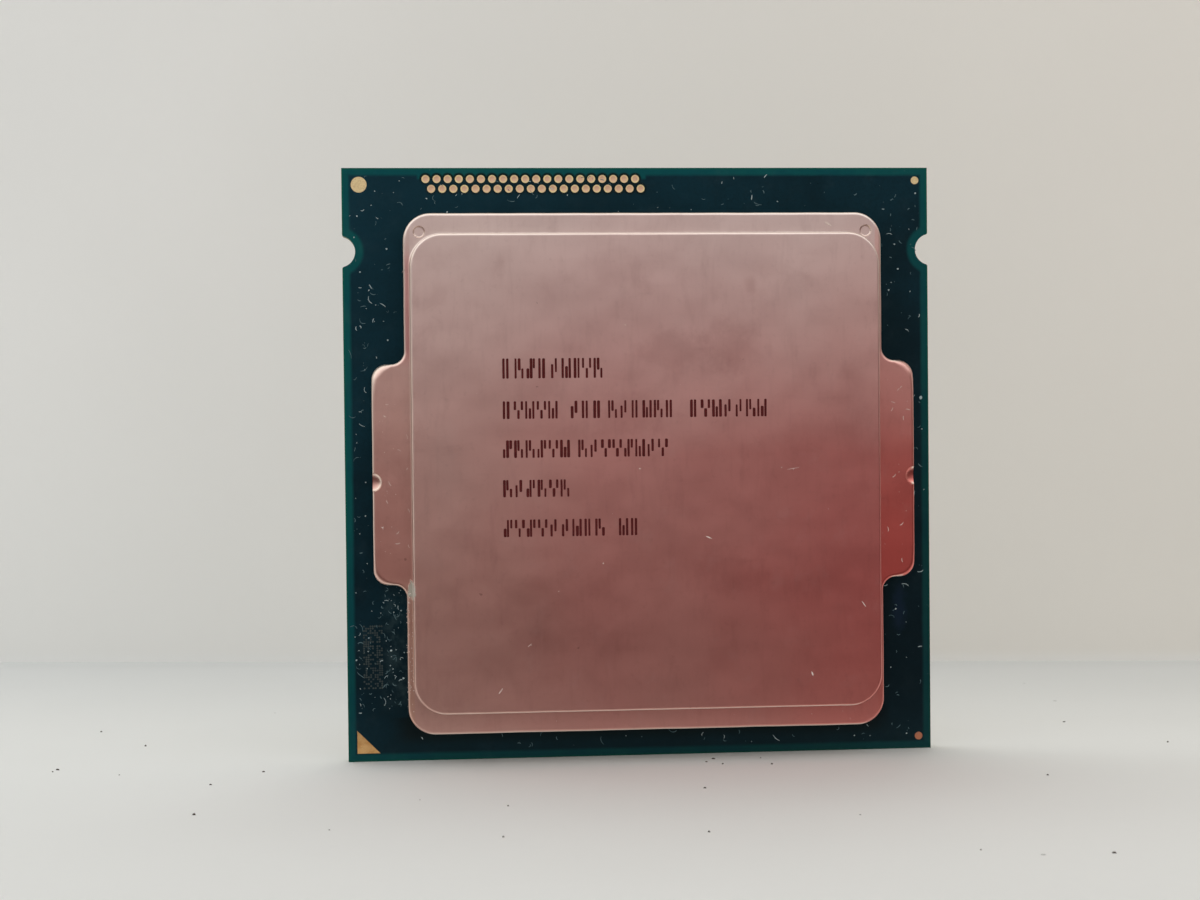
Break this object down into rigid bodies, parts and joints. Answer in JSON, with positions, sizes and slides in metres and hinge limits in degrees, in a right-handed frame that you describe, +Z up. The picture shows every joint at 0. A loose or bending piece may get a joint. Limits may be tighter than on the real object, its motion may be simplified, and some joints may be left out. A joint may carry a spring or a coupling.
{
  "type": "cpu processor",
  "caption": "Square land-grid processor package with a stepped metal lid, side ears, edge notches and a gold contact field on the back.",
  "frame": {"origin": "centre of the square package outline, on the plane of the land faces (the seating plane)", "axes": "the package stands on its lower edge: -Y points out of the lid, +Y out of the land side, +Z up the face to the edge with the test pads, +X to the right as the lid is looked at"},
  "size_m": [0.0376, 0.0049, 0.0376],
  "materials": {
    "nickel_plate": "satin nickel plating over copper",
    "sealant_black": "matt silicone",
    "thermal_paste": "soft grey compound",
    "silicon": "polished silicon",
    "underfill_epoxy": "cured epoxy",
    "solder": "reflowed solder",
    "glass_epoxy": "sawn glass-epoxy laminate",
    "buildup_film": "build-up dielectric film",
    "copper_foil": "plain copper",
    "mask_green": "semi-gloss dark green solder mask",
    "gold_plate": "gold over nickel",
    "ceramic_tan": "fired capacitor ceramic",
    "tin_plate": "matt tin plating"
  },
  "bodies": {
    "root": {"heat_spreader": "nickel_plate", "lid_sealant": "sealant_black", "thermal_interface": "thermal_paste", "silicon_die": "silicon", "die_underfill": "underfill_epoxy", "die_solder_bumps": "solder", "solder_mask_top": "mask_green", "copper_plane_top": "copper_foil", "buildup_layers_top": "buildup_film", "core_copper_top": "copper_foil", "substrate_core": "glass_epoxy", "core_vias": "copper_foil", "core_copper_bottom": "copper_foil", "buildup_layers_bottom": "buildup_film", "copper_plane_bottom": "copper_foil", "solder_mask_bottom": "mask_green", "land_pads": "gold_plate", "test_pads": "gold_plate", "corner_fiducial_pads": "gold_plate", "pin_one_marker": "gold_plate", "capacitor_solder_lands": "gold_plate", "land_side_capacitor_bodies": "ceramic_tan", "land_side_capacitor_end_caps": "tin_plate", "land_side_capacitor_solder_joints": "solder", "die_side_capacitor_bodies": "ceramic_tan", "die_side_capacitor_end_caps": "tin_plate", "die_side_capacitor_solder_joints": "solder"}
  },
  "joints": []
}
